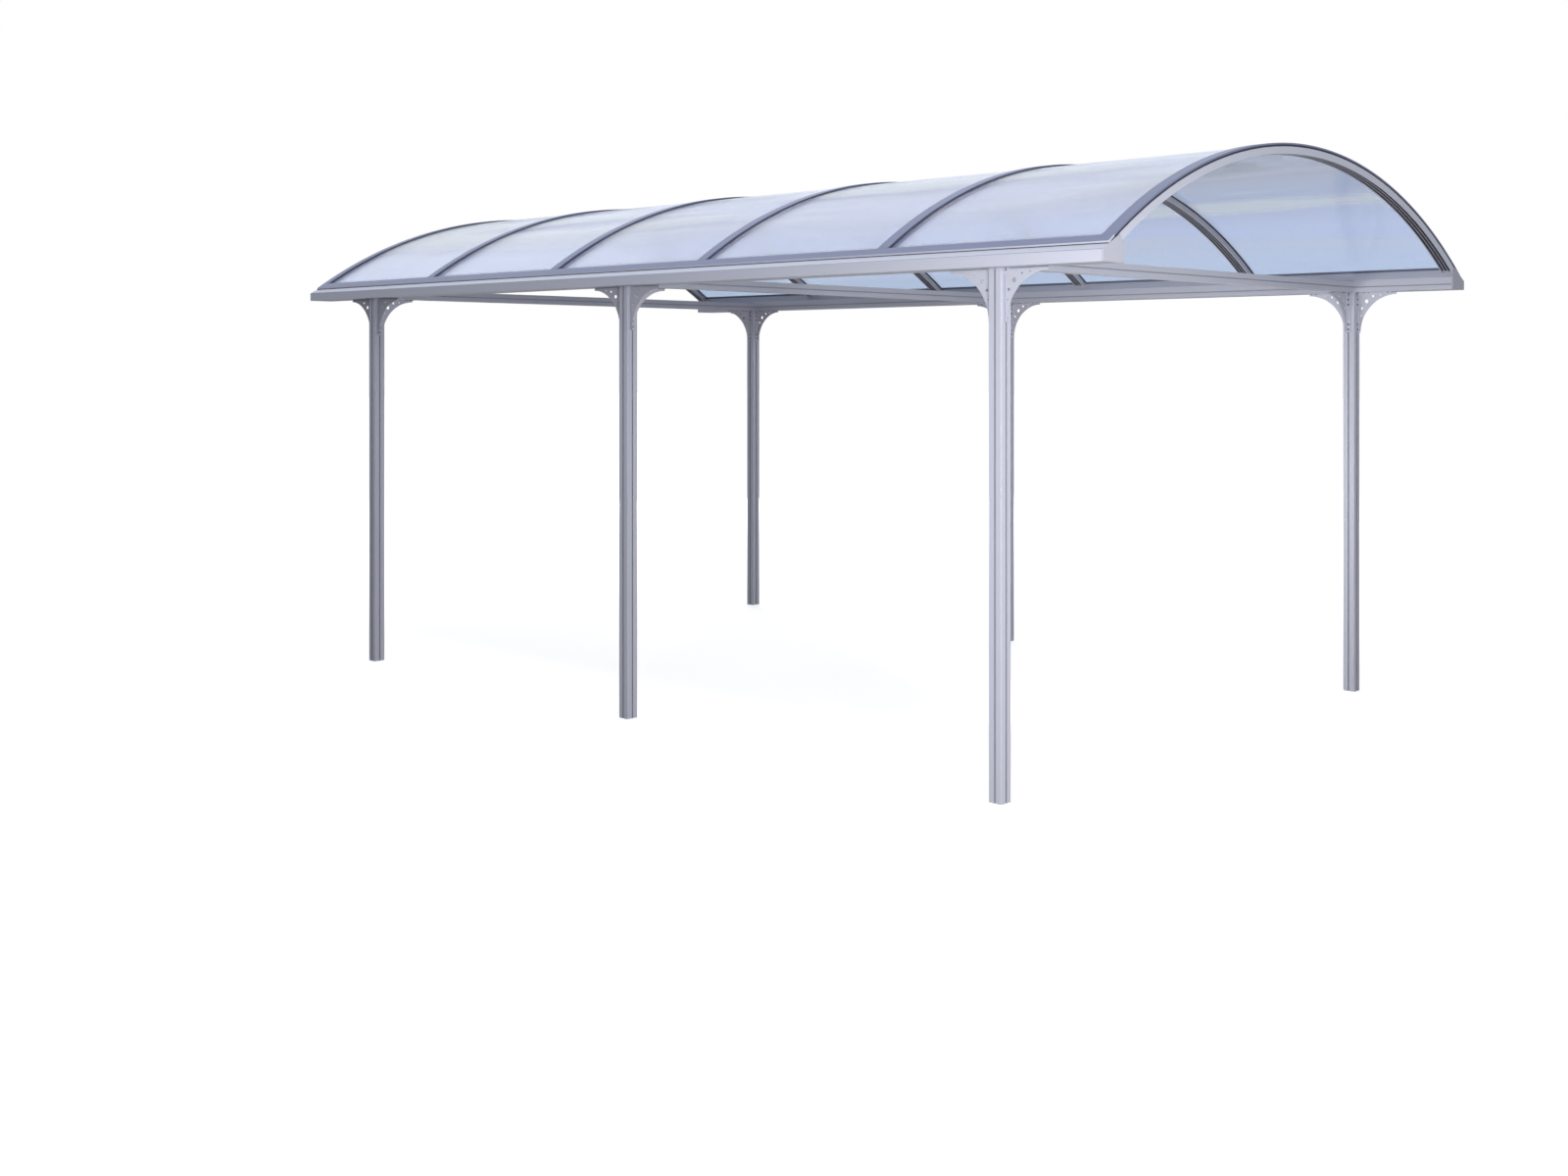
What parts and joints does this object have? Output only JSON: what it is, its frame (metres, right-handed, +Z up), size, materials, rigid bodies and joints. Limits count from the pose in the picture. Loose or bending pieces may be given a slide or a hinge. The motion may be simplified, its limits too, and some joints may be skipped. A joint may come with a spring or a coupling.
{
  "type": "carport",
  "caption": "Free-standing aluminium carport with slim grooved posts, perforated corner brackets and a clear barrel roof between bent arches.",
  "frame": {"origin": "on the ground under the middle of the roof", "axes": "+X towards the front end along the length, +Y across towards the right side, +Z up"},
  "size_m": [5.03, 2.89, 2.38],
  "materials": {
    "frame_aluminium": "satin anodised extrusion",
    "bracket_steel": "satin grey powder coat on folded sheet",
    "cap_plastic": "fine satin grey moulding",
    "roof_sheet": "clear twin-wall polycarbonate sheet with fine flutes"
  },
  "bodies": {
    "root": {"post_left_front": "frame_aluminium", "eave_brackets_left_front": "bracket_steel", "tie_bracket_left_front": "bracket_steel", "post_left_middle": "frame_aluminium", "eave_brackets_left_middle": "bracket_steel", "tie_bracket_left_middle": "bracket_steel", "post_left_back": "frame_aluminium", "eave_brackets_left_back": "bracket_steel", "tie_bracket_left_back": "bracket_steel", "eave_beam_left": "frame_aluminium", "end_cap_left_front": "cap_plastic", "end_cap_left_back": "cap_plastic", "post_right_front": "frame_aluminium", "eave_brackets_right_front": "bracket_steel", "tie_bracket_right_front": "bracket_steel", "post_right_middle": "frame_aluminium", "eave_brackets_right_middle": "bracket_steel", "tie_bracket_right_middle": "bracket_steel", "post_right_back": "frame_aluminium", "eave_brackets_right_back": "bracket_steel", "tie_bracket_right_back": "bracket_steel", "eave_beam_right": "frame_aluminium", "end_cap_right_front": "cap_plastic", "end_cap_right_back": "cap_plastic", "tie_beam_front": "frame_aluminium", "tie_beam_middle": "frame_aluminium", "tie_beam_back": "frame_aluminium", "arch_1": "frame_aluminium", "arch_cover_1": "frame_aluminium", "arch_2": "frame_aluminium", "arch_cover_2": "frame_aluminium", "arch_3": "frame_aluminium", "arch_cover_3": "frame_aluminium", "arch_4": "frame_aluminium", "arch_cover_4": "frame_aluminium", "arch_5": "frame_aluminium", "arch_cover_5": "frame_aluminium", "arch_6": "frame_aluminium", "arch_cover_6": "frame_aluminium", "roof_panel_1": "roof_sheet", "roof_panel_2": "roof_sheet", "roof_panel_3": "roof_sheet", "roof_panel_4": "roof_sheet", "roof_panel_5": "roof_sheet"}
  },
  "joints": []
}
